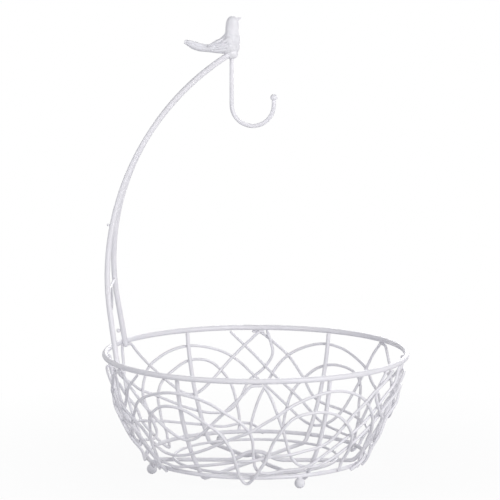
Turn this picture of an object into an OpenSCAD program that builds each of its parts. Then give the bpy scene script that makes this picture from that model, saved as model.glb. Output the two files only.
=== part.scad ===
// Footed wire fruit bowl with a banana hanger and a cast bird on top.
// Millimetres, Z up. The origin is on the table, on the bowl's axis.
// Angles round the bowl start at the front (-Y) and grow towards +X.

/* [Bowl] */
// Diameter of the rim, between the centres of its wire
rim_d = 275; // [240:1:320]
// Thickness of the rim's wire
rim_wire = 5; // [4:0.1:6]
// Height from the base ring's wire up to the rim's wire
bowl_depth = 93.6; // [80:0.5:110]
// Diameter of the base ring, between the centres of its wire
base_d = 200; // [180:1:220]
// Thickness of the base ring's wire
base_wire = 3.8; // [3:0.1:5]
// Radius of the curve of the wall, seen from the side
wall_radius = 180; // [150:1:300]

/* [Ribs] */
// Thickness of the three long ribs
rib_wire = 3.8; // [3:0.1:4.6]
// Height of the ribs' middle line over the table, under the bowl
floor_height = 5.6; // [5:0.1:8]
// Radius of the bend from the floor up into the wall
corner_radius = 10; // [6:0.5:14]
// Half length of the hump where one rib passes over another
hump_length = 26; // [22:0.5:34]
// Diameter of the ring that lies on the ribs, between the centres of its wire
floor_ring_d = 150; // [120:1:160]

/* [Looped wires] */
// Thickness of the looped wires
loop_wire = 2.5; // [2:0.1:3.2]
// Air left where wires touch, closed by the weld and the coating
weld_gap = 0.1; // [0.05:0.05:0.2]
// Distance either side of a crossing over which a wire is fully lifted
lift_flat = 4.5; // [3:0.5:6]
// Distance from a crossing at which a lifted wire is back in its place
lift_reach = 12; // [10:0.5:20]

/* [Feet] */
// Diameter of the ball feet
foot_d = 9.4; // [7:0.2:12]

/* [Hanger] */
// Thickness of the two arm rods
arm_wire = 5; // [4:0.1:6]
// Direction of the arm, seen from above
arm_angle = -91; // [-110:1:-80]
// Half the distance between the rods at the rim
arm_spread = 49; // [30:1:60]
// How far the rods reach down past the rim
arm_tail = 4; // [2:0.5:12]
// Outward lean of the rods where they rise from the rim
arm_lean = 8.5; // [4:0.5:11]
// Length of the leaning stretch over the rim
arm_rise = 44; // [30:1:60]
// Radius of the long bend
arm_radius = 235; // [200:1:270]
// Angle of the long bend above the level
arm_sweep = 56; // [50:0.5:62]
// Straight end that goes into the bird
arm_end = 10; // [8:0.5:14]

/* [Hook] */
// Thickness of the hook's wire
hook_wire = 3.8; // [3:0.1:4.5]
// Length of the straight shank
hook_shank = 41; // [30:0.5:60]
// Radius of the hook's bend
hook_radius = 19; // [14:0.5:26]
// Length of the straight tip after the bend
hook_end = 5; // [2:0.5:10]
// Diameter of the ball on the tip
hook_ball = 6.4; // [5:0.1:8]

/* [Bird] */
// Length of the bird from beak to tail
bird_length = 52; // [40:0.5:60]
// Diameter of the ball under the bird, to which rods and hook are welded
socket_d = 12; // [10:0.5:14]

/* [Leaf and berries] */
// Thickness of the wire between the rods
brace_wire = 2.4; // [1.8:0.1:3]
// Height of that wire over the rim, along the rods
brace_height = 63; // [50:1:90]
// Length of the leaf
leaf_length = 24; // [18:0.5:28]
// Width of the leaf
leaf_width = 10; // [7:0.5:13]
// Thickness of the leaf
leaf_thickness = 1.6; // [1.2:0.1:2.4]
// Turn of the leaf about its own length
leaf_turn = 15; // [-30:1:30]
// Diameter of the large berry, on the back rod
berry_d = 3.8; // [3:0.1:6]
// Height of the large berry over the rim, along the rod
berry_height = 12; // [8:1:40]
// Diameter of the small berry, on the front rod
bud_d = 2.6; // [2:0.1:4]
// Height of the small berry over the rim, along the rod
bud_height = 123; // [100:1:160]

/* [Hidden] */

$fn = 64;
seam = 0.03;
seam_swell = 0.12;
coat = "whitesmoke";

// Rings of the bowl: radius and height of their wires' middle lines.
rim_r = rim_d / 2;
base_r = base_d / 2;
base_z = foot_d + base_wire / 2 + weld_gap / 2;
rim_z = base_z + bowl_depth;
floor_ring_z = floor_height + (rib_wire + loop_wire) / 2 + weld_gap;

// How far the base ring and the looped wires lie out from the ribs.
ring_offset = (rib_wire + base_wire) / 2 + weld_gap;
loop_offset = (rib_wire + loop_wire) / 2 + weld_gap;

// The ribs' wall is an arc in every upright plane through the axis. It runs
// just inside the base ring, and the looped wires on it end under the rim.
rim_reach = wall_radius + loop_offset;
base_reach = wall_radius + ring_offset;
chord = [base_r - rim_r, base_z - rim_z];
chord_length = norm(chord);
along = (pow(rim_reach, 2) - pow(base_reach, 2) + pow(chord_length, 2)) / (2 * chord_length);
across = sqrt(pow(rim_reach, 2) - pow(along, 2));
wall_c = [rim_r, rim_z] + chord / chord_length * along
    + [chord.y, -chord.x] / chord_length * across;

// Directions from the wall's centre to the rim, to the base ring and to a
// looped wire that touches the rim from below.
rim_turn = atan2(rim_z - wall_c.y, rim_r - wall_c.x);
base_turn = atan2(base_z - wall_c.y, base_r - wall_c.x);
top_turn = rim_turn - ((rim_wire + loop_wire) / 2 + weld_gap) / rim_reach * 180 / PI;

// Corner bend, tangent to the wall's arc and to the floor.
corner_z = floor_height + corner_radius;
corner_c = [
    wall_c.x + sqrt(pow(wall_radius - corner_radius, 2) - pow(wall_c.y - corner_z, 2)),
    corner_z
];
corner_turn = atan2(corner_c.y - wall_c.y, corner_c.x - wall_c.x);

rib_angles = [-30, 30, 90];
rib_step = 180 / len(rib_angles);
foot_angles = [-69, 24, 102, 200];

// The looped wires, as [angle round the bowl, height in percent of the depth].
// Each is made three times, a third of a turn apart.
vee_route = [
    [-62.5, 98], [-61, 98.5], [-58.5, 92], [-50, 73], [-40, 51], [-32.5, 40],
    [-27.5, 39], [-22.5, 44.5], [-12.5, 66], [-5, 84], [-0.5, 97], [1.5, 100], [3.5, 98]
];
inner_route = [
    [-49.5, 2], [-51, 14], [-49, 40], [-45, 58], [-39, 69], [-30.5, 71], [-22, 63], [-13.5, 50],
    [-9, 30], [-7, 7], [-4, -2.5], [-1, 2], [5, 22], [9.5, 46], [15, 63], [25, 68],
    [33.5, 64], [40, 53], [45, 38], [46.5, 20], [46.5, 4]
];
arch_route = [
    [-63.5, 97], [-65, 86], [-66, 74], [-62, 60], [-56, 49], [-52, 33], [-46, 21.5], [-36, 20.5],
    [-24.5, 27.5], [-11.5, 40.5], [2, 56], [12.5, 73], [23, 84], [33.5, 87], [44, 79], [51, 66],
    [55.5, 50], [59.5, 32], [63, 12], [64, 2]
];
drape_route = [
    [62.5, 98], [60.5, 98], [54.5, 87], [47.5, 73], [40.5, 54], [34.5, 37.5], [28, 31], [16.5, 28],
    [0, 22.5], [-15.5, 16], [-29.5, 11], [-43, 8], [-56.5, 11], [-63, 2]
];
sweep_route = [
    [4, 96], [6, 88], [9, 70], [12.5, 48], [16.5, 25], [22, 14], [29.5, 10.5], [37, 14.5], [46.5, 27],
    [56, 43], [62.5, 55], [68.5, 68.5], [76, 78.5], [88.5, 85], [101, 80], [111.5, 67], [119, 48],
    [120, 25], [121, 12], [125, 8], [135.5, 10], [148, 16], [161.5, 35], [174, 56],
    [183, 77], [191, 96]
];
// The order in which they are laid on the ribs and over each other.
routes = [vee_route, sweep_route, arch_route, drape_route, inner_route];
route_copies = 3;
self_crossing = 1;
ring_step = 8.2;
tube_sides = 6;

// How far a looped wire is lifted over the base ring and over another one.
loop_over_base = ring_offset + (base_wire + loop_wire) / 2 + weld_gap - loop_offset;
loop_over_loop = loop_wire + weld_gap;
loop_give = loop_over_loop / 2;
ring_reach = lift_flat + 4;

// Arm: where a rod touches the rim's inside, and the points of its bend.
arm_touch = rim_r - (rim_wire + arm_wire) / 2 - weld_gap;
arm_foot_x = sqrt(pow(arm_touch, 2) - pow(arm_spread, 2));
arm_bend = [arm_foot_x + arm_rise * tan(arm_lean), arm_rise];
arm_c = arm_bend + arm_radius * [-cos(arm_lean), sin(arm_lean)];
arm_last = arm_c + arm_radius * [cos(arm_sweep), sin(arm_sweep)];
arm_tip = arm_last + arm_end * [-sin(arm_sweep), cos(arm_sweep)];
arm_meet = arm_wire / 2 + weld_gap;
arm_tilt = asin((arm_spread - arm_meet) / arm_tip.y);

// Socket: a ball on the line of the rods' ends. The bird's own origin is
// the lowest point of that ball.
socket_r = socket_d / 2;
socket_x = arm_tip.x + 1.5;
socket_z = rim_z + (arm_tip.y - 1.5 * tan(90 - arm_sweep)) * cos(arm_tilt);
bird_scale = bird_length / 52;

// Cross sections of the bird from tail to beak, seen from its side. Each is
// [point on the back, point on the belly, half width].
bird_sections = [
    [[-42.3, 17.4], [-42.9, 14.2], 3.2], [[-39, 17.5], [-39, 11.6], 4.4],
    [[-33.5, 16.4], [-34.8, 9], 5], [[-28, 14.8], [-29, 7.2], 5.4],
    [[-22.5, 13.6], [-21.8, 6.6], 6.2], [[-17.5, 14.4], [-15, 5.8], 7.8],
    [[-12.5, 17.2], [-8.5, 5.2], 9.2], [[-9, 20.4], [-2.6, 4.8], 9.8],
    [[-6.7, 22.8], [3, 6.6], 9.4], [[-5.7, 25], [6.2, 12.4], 8.4],
    [[-5.6, 27.2], [7.8, 18], 7.4], [[-5.5, 29.2], [7.2, 22.4], 6.2],
    [[-5.3, 31.4], [6.4, 26], 5.7], [[-4.8, 34], [6.5, 30.6], 5.7],
    [[-3.6, 36.8], [6.6, 33.2], 5.4], [[-1.2, 38.8], [6.5, 34.7], 4.6],
    [[2.2, 38.9], [6.4, 35.3], 3.2], [[5, 37.9], [6.7, 35.6], 1.9],
    [[7.3, 37.9], [7.8, 36.2], 1.1], [[9.2, 37.8], [9.3, 37.2], 0.4]
];
bird_sides = 24;

function last_of(list) = list[len(list) - 1];
function unit(v) = v / norm(v);
function wall_r(turn) = wall_c.x + wall_radius * cos(turn);
function turn_at(height) = asin((base_z + bowl_depth * height / 100 - wall_c.y) / wall_radius);

// A point over the wall: angle round the bowl, turn down the wall, offset.
function wall_point(angle, turn, offset) =
    let (r = wall_c.x + (wall_radius + offset) * cos(turn))
    [r * sin(angle), -r * cos(angle), wall_c.y + (wall_radius + offset) * sin(turn)];
function wall_normal(angle, turn) = [cos(turn) * sin(angle), -cos(turn) * cos(angle), sin(turn)];

// Smooth curve through four points, at t from 0 to 1 between the middle two.
function curve(a, b, c, d, t) =
    0.5 * ((2 * b) + (c - a) * t + (2 * a - 5 * b + 4 * c - d) * t * t
        + (3 * b - a - 3 * c + d) * t * t * t);

// Length on the wall of the step from one [angle, turn] to the next.
function flat_step(a, b) =
    norm([(b.x - a.x) * PI / 180 * wall_r((a.y + b.y) / 2), (b.y - a.y) * PI / 180 * wall_radius]);

// A route as closely spaced [angle, turn] places, none of them higher than
// a wire that touches the rim from below.
function places(route) =
    let (
        points = [for (p = route) [p.x, turn_at(p.y)]],
        n = len(points),
        before = function (i) i == 0 ? 2 * points[0] - points[1] : points[i - 1],
        after = function (i) i + 2 > n - 1 ? 2 * points[n - 1] - points[n - 2] : points[i + 2]
    )
    concat(
        [for (i = [0:n - 2])
            let (count = max(1, round(flat_step(points[i], points[i + 1]) / ring_step)))
            for (k = [0:count - 1])
                let (p = curve(before(i), points[i], points[i + 1], after(i), k / count))
                [p.x, min(p.y, top_turn)]],
        [[points[n - 1].x, min(points[n - 1].y, top_turn)]]
    );

// Height of a lift at a distance from what the wire passes over.
function lift_shape(distance, reach = lift_reach) =
    distance <= lift_flat ? 1
    : distance >= reach ? 0
    : 0.5 + 0.5 * cos(180 * (distance - lift_flat) / (reach - lift_flat));

// The steps of a wire near a place, each as [lift there, distance].
function near_steps(place, laid) =
    [for (i = [0:len(laid) - 2])
        let (a = laid[i], b = laid[i + 1])
        if (abs(a[0] - place.x) < 14 && abs(a[1] - place.y) < 6)
        let (
            scale = [PI / 180 * wall_r(place.y), PI / 180 * wall_radius],
            p = [(place.x - a[0]) * scale.x, (place.y - a[1]) * scale.y],
            s = [(b[0] - a[0]) * scale.x, (b[1] - a[1]) * scale.y],
            t = min(1, max(0, (p * s) / (s * s)))
        )
        [a[2] + (b[2] - a[2]) * t, norm(p - s * t)]];

// Lift of a place over a wire laid before it, from the level it would have.
function lift_over(place, level, laid) =
    max([level, for (n = near_steps(place, laid))
        level + (n[0] + loop_over_loop - level) * lift_shape(n[1])]);

// Between the ribs and rings a wire gives way inwards to one laid after it.
function wall_length(turn) = abs(turn) * PI / 180 * wall_radius;
function rib_distance(place) =
    let (turn = (place.x - rib_angles[0] + 720) % rib_step)
    min(turn, rib_step - turn) * PI / 180 * wall_r(place.y);
function room(place) =
    1 - max(
        lift_shape(rib_distance(place)),
        lift_shape(wall_length(place.y - rim_turn)),
        lift_shape(wall_length(place.y - base_turn))
    );
function give(place, later) =
    max([0, for (w = later) for (n = near_steps(place, w)) lift_shape(n[1])]) * room(place);

// Lift over the base ring.
function ring_lift(place) =
    loop_over_base * lift_shape(wall_length(place.y - base_turn), ring_reach);

function turned(laid, angle) = [for (p = laid) [p[0] + angle, p[1], p[2]]];
function all_round(laid) = [for (k = [-2:2]) turned(laid, k * 360 / route_copies)];
function others(laid) = [for (k = [-2, -1, 1, 2]) turned(laid, k * 360 / route_copies)];

function bare(route) = [for (p = places(route)) [p.x, p.y, 0]];
function second_half(list) = [for (i = [floor(len(list) / 2):len(list) - 1]) list[i]];

// Places with their lift, over the wires below and under the later ones.
function laid_between(spots, below, later) =
    [for (p = spots)
        let (level = max(ring_lift(p), -loop_give * give(p, later)))
        [p.x, p.y, max([level, for (w = below) lift_over(p, level, w)])]];

// The wires of the first kinds, each laid over those before it.
function laid_wires(kind) =
    kind < 0 ? []
    : let (
        below = laid_wires(kind - 1),
        around = [for (w = below) each all_round(w)],
        later = [for (k = [kind + 1:1:len(routes) - 1]) each all_round(bare(routes[k]))],
        over_itself = kind == self_crossing ? others(second_half(bare(routes[kind]))) : [],
        first = laid_between(places(routes[kind]), around, concat(later, over_itself))
    )
    concat(below, [kind == self_crossing ? laid_over_itself(first) : first]);

// The last stretch of the long sweep passes over the start of the next copy.
function laid_over_itself(laid) =
    let (
        half = floor(len(laid) / 2),
        next = turned([for (i = [0:half]) laid[i]], 360 / route_copies)
    )
    [for (i = [0:len(laid) - 1])
        let (p = laid[i])
        [p[0], p[1], i > half ? lift_over([p[0], p[1]], p[2], next) : p[2]]];

// An end that points up at the rim goes on until its cut edge touches it.
function rim_end(end, before) =
    let (way = unit(end - before))
    end + loop_wire / 2 * tan(asin(max(0, way.z)) / 2) * way;

module looped_wire(kind, copy) {
    laid = last_of(laid_wires(kind));
    middle = [for (p = laid) wall_point(p[0], p[1], loop_offset + p[2])];
    n = len(middle);
    path = [for (i = [0:n - 1])
        i == 0 ? rim_end(middle[0], middle[1])
        : i == n - 1 ? rim_end(middle[n - 1], middle[n - 2])
        : middle[i]];
    sides = tube_sides;
    radius = loop_wire / 2 * sqrt(2 * PI / sides / sin(360 / sides));
    points = [for (i = [0:n - 1])
        let (
            t = unit(path[min(n - 1, i + 1)] - path[max(0, i - 1)]),
            b = unit(cross(t, wall_normal(laid[i][0], laid[i][1]))),
            m = cross(b, t)
        )
        for (k = [0:sides - 1])
            let (turn = 360 * (k + 0.5) / sides)
            path[i] + radius * (cos(turn) * m + sin(turn) * b)];
    skin = [for (i = [0:n - 2]) for (k = [0:sides - 1])
        let (
            a = i * sides + k,
            b = i * sides + (k + 1) % sides
        )
        each [[a, a + sides, b + sides], [a, b + sides, b]]];
    start_cap = [[for (k = [0:sides - 1]) k]];
    end_cap = [[for (k = [sides - 1:-1:0]) (n - 1) * sides + k]];
    color(coat)
    rotate([0, 0, copy * 360 / route_copies])
    polyhedron(points = points, faces = concat(skin, start_cap, end_cap));
}

// A ring of round wire, level, at a height.
module wire_ring(radius, height, wire) {
    translate([0, 0, height])
    rotate_extrude($fn = 128)
    translate([radius, 0])
    circle(d = wire, $fn = 32);
}

// A bent stretch of round wire in the XZ plane, from one turn to another.
// Stretches stop just short of each other, and a joint closes the seam.
module wire_arc(centre, radius, from, to, wire) {
    trim = seam / radius * 180 / PI;
    translate([centre.x, 0, centre.y])
    rotate([90, 0, 0])
    rotate([0, 0, from + trim])
    rotate_extrude(angle = to - from - 2 * trim, $fn = 192)
    translate([radius, 0])
    circle(d = wire, $fn = 32);
}

// A straight stretch of round wire in the XZ plane.
module wire_line(from, to, wire) {
    step = to - from;
    translate([from.x, 0, from.y])
    rotate([0, atan2(step.x, step.y), 0])
    translate([0, 0, seam])
    cylinder(h = norm(step) - 2 * seam, d = wire, $fn = 32);
}

// Closes the seam between two stretches, a hair wider than the wire.
module wire_joint(at, wire) {
    translate([at.x, 0, at.y])
    sphere(d = wire + seam_swell, $fn = 48);
}

module rim() {
    color(coat)
    wire_ring(rim_r, rim_z, rim_wire);
}

module base_ring() {
    color(coat)
    wire_ring(base_r, base_z, base_wire);
}

module floor_ring() {
    color(coat)
    wire_ring(floor_ring_d / 2, floor_ring_z, loop_wire);
}

// Corner and wall of a rib, on the +X side.
module rib_side() {
    rim_drop = sqrt(pow(rim_wire / 2 + weld_gap, 2) - pow(loop_offset - rib_wire / 2, 2));
    rim_end = rim_drop / wall_radius * 180 / PI;
    corner_end = corner_c + corner_radius * [cos(corner_turn), sin(corner_turn)];
    wire_joint([corner_c.x, floor_height], rib_wire);
    wire_arc(corner_c, corner_radius, -90, corner_turn, rib_wire);
    wire_joint(corner_end, rib_wire);
    wire_arc(wall_c, wall_radius, corner_turn, rim_turn - rim_end, rib_wire);
}

// Floor of a rib on the +X side, from the hump over the ribs below it.
module rib_floor(rise) {
    bend = 2 * atan(rise / hump_length);
    hump_r = hump_length / 2 / sin(bend);
    hump_side = [hump_length / 2, floor_height + rise / 2];
    wire_arc([hump_length, floor_height + hump_r], hump_r, 270 - bend, 270, rib_wire);
    wire_joint(hump_side, rib_wire);
    wire_joint([hump_length, floor_height], rib_wire);
    wire_line([hump_length, floor_height], [corner_c.x, floor_height], rib_wire);
}

module rib(index) {
    rise = index * (rib_wire + weld_gap);
    bend = 2 * atan(rise / hump_length);
    hump_r = hump_length / 2 / sin(max(bend, 1));
    color(coat)
    rotate([0, 0, rib_angles[index] - 90]) {
        for (turn = [0, 180]) {
            rotate([0, 0, turn])
            rib_side();
            if (index > 0) {
                rotate([0, 0, turn])
                rib_floor(rise);
            }
        }
        if (index > 0) {
            wire_arc([0, floor_height + rise - hump_r], hump_r, 90 - bend, 90 + bend, rib_wire);
        }
        if (index == 0) {
            wire_line([-corner_c.x, floor_height], [corner_c.x, floor_height], rib_wire);
        }
    }
}

module foot(index) {
    color(coat)
    rotate([0, 0, foot_angles[index] - 90])
    translate([base_r, 0, foot_d / 2])
    sphere(d = foot_d, $fn = 48);
}

// Puts what is drawn along +X in the upright plane of the arm.
module at_arm() {
    rotate([0, 0, arm_angle - 90])
    children();
}

// Puts what is drawn in the XZ plane in the leaning plane of one rod.
// The side is -1 at the front and 1 at the back.
module at_rod(side) {
    at_arm()
    translate([0, -side * arm_spread, rim_z])
    rotate([-side * arm_tilt, 0, 0])
    children();
}

// How far out a rod's middle line is at a height along the rod.
function rod_x(height) =
    height < arm_rise
        ? arm_foot_x + height * tan(arm_lean)
        : arm_c.x + sqrt(pow(arm_radius, 2) - pow(height - arm_c.y, 2));

module arm_rod(side) {
    color(coat)
    difference() {
        at_rod(side) {
            wire_line([arm_foot_x - arm_tail * tan(arm_lean), -arm_tail], arm_bend, arm_wire);
            wire_arc(arm_c, arm_radius, -arm_lean, arm_sweep, arm_wire);
            wire_line(arm_last, arm_tip, arm_wire);
            wire_joint(arm_bend, arm_wire);
            wire_joint(arm_last, arm_wire);
        }
        socket_ball(socket_r + weld_gap);
    }
}

module socket_ball(radius) {
    at_arm()
    translate([socket_x, 0, socket_z])
    sphere(r = radius, $fn = 48);
}

module hook() {
    bend_z = socket_z - socket_r - hook_shank;
    color(coat)
    difference() {
        at_arm()
        translate([socket_x, 0, bend_z]) {
            wire_line([0, 0], [0, hook_shank + socket_r], hook_wire);
            wire_arc([-hook_radius, 0], hook_radius, -180, 0, hook_wire);
            wire_line([-2 * hook_radius, hook_end], [-2 * hook_radius, 0], hook_wire);
            wire_joint([0, 0], hook_wire);
            wire_joint([-2 * hook_radius, 0], hook_wire);
        }
        socket_ball(socket_r + weld_gap);
    }
}

module hook_ball_tip() {
    bend_z = socket_z - socket_r - hook_shank;
    color(coat)
    at_arm()
    translate([socket_x - 2 * hook_radius, 0, bend_z + hook_end + hook_ball / 4])
    difference() {
        sphere(d = hook_ball, $fn = 40);
        translate([0, 0, -hook_ball - hook_ball / 4])
        cylinder(h = hook_ball, d = hook_wire + 2 * weld_gap, $fn = 32);
    }
}

// Body, neck, head and beak as one skin over the cross sections.
module bird_body() {
    n = len(bird_sections);
    row = function (i) bird_sections[max(0, min(n - 1, i))];
    rows = [for (i = [0:0.5:n - 1])
        let (
            k = floor(i),
            t = i - k,
            between = function (j)
                curve(row(k - 1)[j], row(k)[j], row(k + 1)[j], row(k + 2)[j], t)
        )
        [between(0), between(1), between(2)]];
    count = len(rows);
    points = [for (r = rows) for (k = [0:bird_sides - 1])
        let (
            turn = 360 * k / bird_sides,
            p = (r[0] + r[1]) / 2 + (r[0] - r[1]) / 2 * cos(turn)
        )
        [p.x, -r[2] * sin(turn), p.y]];
    skin = [for (i = [0:count - 2]) for (k = [0:bird_sides - 1])
        let (
            a = i * bird_sides + k,
            b = i * bird_sides + (k + 1) % bird_sides
        )
        each [[a, a + bird_sides, b + bird_sides], [a, b + bird_sides, b]]];
    start_cap = [[for (k = [0:bird_sides - 1]) k]];
    end_cap = [[for (k = [bird_sides - 1:-1:0]) (count - 1) * bird_sides + k]];
    polyhedron(points = points, faces = concat(skin, start_cap, end_cap));
}

// A long rounded feather between two points, thick at its root.
module feather(root, tip, root_r, tip_r) {
    hull() {
        translate(root)
        sphere(r = root_r, $fn = 14);
        translate(tip)
        sphere(r = tip_r, $fn = 10);
    }
}

module wing() {
    feather([-1.5, 5.4, 17], [-13, 6, 14.6], 5, 3);
    feather([-7, 6, 16.4], [-20.5, 5.4, 12.2], 3.8, 1.3);
    feather([-6.5, 6.2, 13.4], [-19.5, 5.4, 10], 3.4, 1.2);
    feather([-5.5, 6, 11], [-17, 5.6, 8.2], 3, 1.1);
}

module bird() {
    color(coat)
    at_arm()
    translate([socket_x, 0, socket_z - socket_r])
    rotate([0, 0, 180])
    union() {
        translate([0, 0, socket_r])
        sphere(r = socket_r, $fn = 36);
        scale(bird_scale) {
            bird_body();
            wing();
            mirror([0, 1, 0])
            wing();
            feather([0.6, 4.9, 33.2], [0.6, -4.9, 33.2], 1, 1);
        }
    }
}

// Straight wire between the two rods, cut where it meets them.
module brace() {
    half = arm_spread - brace_height * sin(arm_tilt) - arm_wire / 2 - weld_gap;
    color(coat)
    at_arm()
    translate([rod_x(brace_height), 0, rim_z + brace_height * cos(arm_tilt)])
    rotate([90, 0, 0])
    cylinder(h = 2 * half, d = brace_wire, center = true, $fn = 32);
}

// Leaf with two pointed ends, which hangs under the wire between the rods.
module leaf() {
    side_r = (pow(leaf_length, 2) + pow(leaf_width, 2)) / (4 * leaf_width);
    top_z = rim_z + brace_height * cos(arm_tilt);
    color(coat)
    difference() {
        at_arm()
        translate([rod_x(brace_height), 0, top_z - leaf_length / 2])
        rotate([0, 0, leaf_turn])
        rotate([90, 0, 90])
        linear_extrude(height = leaf_thickness, center = true)
        intersection() {
            translate([side_r - leaf_width / 2, 0])
            circle(r = side_r, $fn = 128);
            translate([leaf_width / 2 - side_r, 0])
            circle(r = side_r, $fn = 128);
        }
        at_arm()
        translate([rod_x(brace_height), 0, top_z])
        rotate([90, 0, 0])
        cylinder(h = leaf_width, d = brace_wire + 2 * weld_gap, center = true, $fn = 32);
    }
}

// Small ball on the outside of a rod.
module berry(side, height, diameter) {
    color(coat)
    at_rod(side)
    translate([rod_x(height) + arm_wire / 2 + diameter / 2 + weld_gap, 0, height])
    sphere(d = diameter, $fn = 32);
}

rim();
base_ring();
floor_ring();
rib(0);  // rib_1
rib(1);  // rib_2
rib(2);  // rib_3
looped_wire(0, 0);  // vee_wire_1
looped_wire(0, 1);  // vee_wire_2
looped_wire(0, 2);  // vee_wire_3
looped_wire(1, 0);  // sweep_wire_1
looped_wire(1, 1);  // sweep_wire_2
looped_wire(1, 2);  // sweep_wire_3
looped_wire(2, 0);  // arch_wire_1
looped_wire(2, 1);  // arch_wire_2
looped_wire(2, 2);  // arch_wire_3
looped_wire(3, 0);  // drape_wire_1
looped_wire(3, 1);  // drape_wire_2
looped_wire(3, 2);  // drape_wire_3
looped_wire(4, 0);  // inner_wire_1
looped_wire(4, 1);  // inner_wire_2
looped_wire(4, 2);  // inner_wire_3
foot(0);  // foot_1
foot(1);  // foot_2
foot(2);  // foot_3
foot(3);  // foot_4
arm_rod(-1);  // arm_rod_front
arm_rod(1);  // arm_rod_back
hook();
hook_ball_tip();
bird();
brace();
leaf();
berry(1, berry_height, berry_d);  // berry_large
berry(-1, bud_height, bud_d);  // berry_small
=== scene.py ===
# %% [markdown]
# A wire bowl on ball feet, with a bent double arm that carries a hook and a small cast bird. Everything
# is white powder-coated metal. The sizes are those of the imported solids. This script makes smooth wires,
# a softly cast bird and the coating. Lengths are worked out in millimetres and turned into metres at the
# end of each step.

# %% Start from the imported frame
import math
import bpy
import bmesh
from mathutils import Matrix, Vector


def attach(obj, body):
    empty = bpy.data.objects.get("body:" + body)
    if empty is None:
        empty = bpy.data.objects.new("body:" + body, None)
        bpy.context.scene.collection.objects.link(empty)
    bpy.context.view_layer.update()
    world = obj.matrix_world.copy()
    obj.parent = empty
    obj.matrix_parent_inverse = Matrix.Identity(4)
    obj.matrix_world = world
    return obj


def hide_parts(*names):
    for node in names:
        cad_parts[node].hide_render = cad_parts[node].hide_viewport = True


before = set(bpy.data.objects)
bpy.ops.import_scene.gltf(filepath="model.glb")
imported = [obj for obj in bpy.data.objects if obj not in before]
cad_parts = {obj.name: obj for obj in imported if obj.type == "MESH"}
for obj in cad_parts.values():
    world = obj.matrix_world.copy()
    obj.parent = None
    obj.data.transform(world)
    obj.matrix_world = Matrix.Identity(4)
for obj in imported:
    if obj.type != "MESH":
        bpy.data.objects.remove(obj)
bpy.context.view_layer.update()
scene = bpy.context.scene
MM = 0.001
print("nodes", len(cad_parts))

# %% [markdown]
# The camera stands well back with a long lens, as for a catalogue picture, and looks down about ten
# degrees. Its place is worked out from the ellipses of the bowl's rings. It is turned, and not shifted,
# until the middle of the rim lands where it is in the photograph. Its two angles are in radians.

# %% Camera
FOOT_D, BASE_WIRE, WELD_GAP, BOWL_DEPTH = 9.4, 3.8, 0.1, 93.6
BASE_Z = FOOT_D + BASE_WIRE / 2 + WELD_GAP / 2
RIM_Z = BASE_Z + BOWL_DEPTH
FOCAL_PX = 3068.0
FRAME_PX = 500
RIM_MIDDLE_PX = (255.8, 353.1)
SENSOR = 36.0
CAMERA_DOWN, CAMERA_TURN, CAMERA_DISTANCE = 0.18053, 0.0179, 2800.0

def aim_camera():
    rim_middle = Vector((0, 0, RIM_Z))
    level = math.cos(CAMERA_DOWN)
    back = Vector((math.sin(CAMERA_TURN) * level, -math.cos(CAMERA_TURN) * level, math.sin(CAMERA_DOWN)))
    place = rim_middle + back * CAMERA_DISTANCE
    right = Vector((math.cos(CAMERA_TURN), math.sin(CAMERA_TURN), 0))
    up = back.cross(right)
    dx = (FRAME_PX / 2 - RIM_MIDDLE_PX[0]) / FOCAL_PX * CAMERA_DISTANCE
    dy = (RIM_MIDDLE_PX[1] - FRAME_PX / 2) / FOCAL_PX * CAMERA_DISTANCE
    target = rim_middle + right * dx + up * dy
    data = bpy.data.cameras.new("catalogue_camera")
    data.sensor_width = SENSOR
    data.lens = FOCAL_PX / FRAME_PX * SENSOR
    data.clip_end = 20.0
    camera = bpy.data.objects.new("catalogue_camera", data)
    camera.rotation_euler = (target - place).to_track_quat("-Z", "Y").to_euler()
    camera.location = place * MM
    scene.collection.objects.link(camera)
    scene.camera = camera
    print("camera at", [round(v, 3) for v in camera.location], "lens", round(data.lens, 1))

aim_camera()

# %% [markdown]
# White metal on white needs soft light with a direction, or its round wires turn flat. One large soft box
# stands in front on the right, and weaker ones on the left and behind. The world fills the rest, least
# from the upper left, so that this edge of each wire and the bird's back stay darker. Brighter lamps
# could whiten the background, but they would burn out the coating, so only the camera, reflections and
# rays through glass see a white world. Places and sides of the lamps are in metres.

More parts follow.
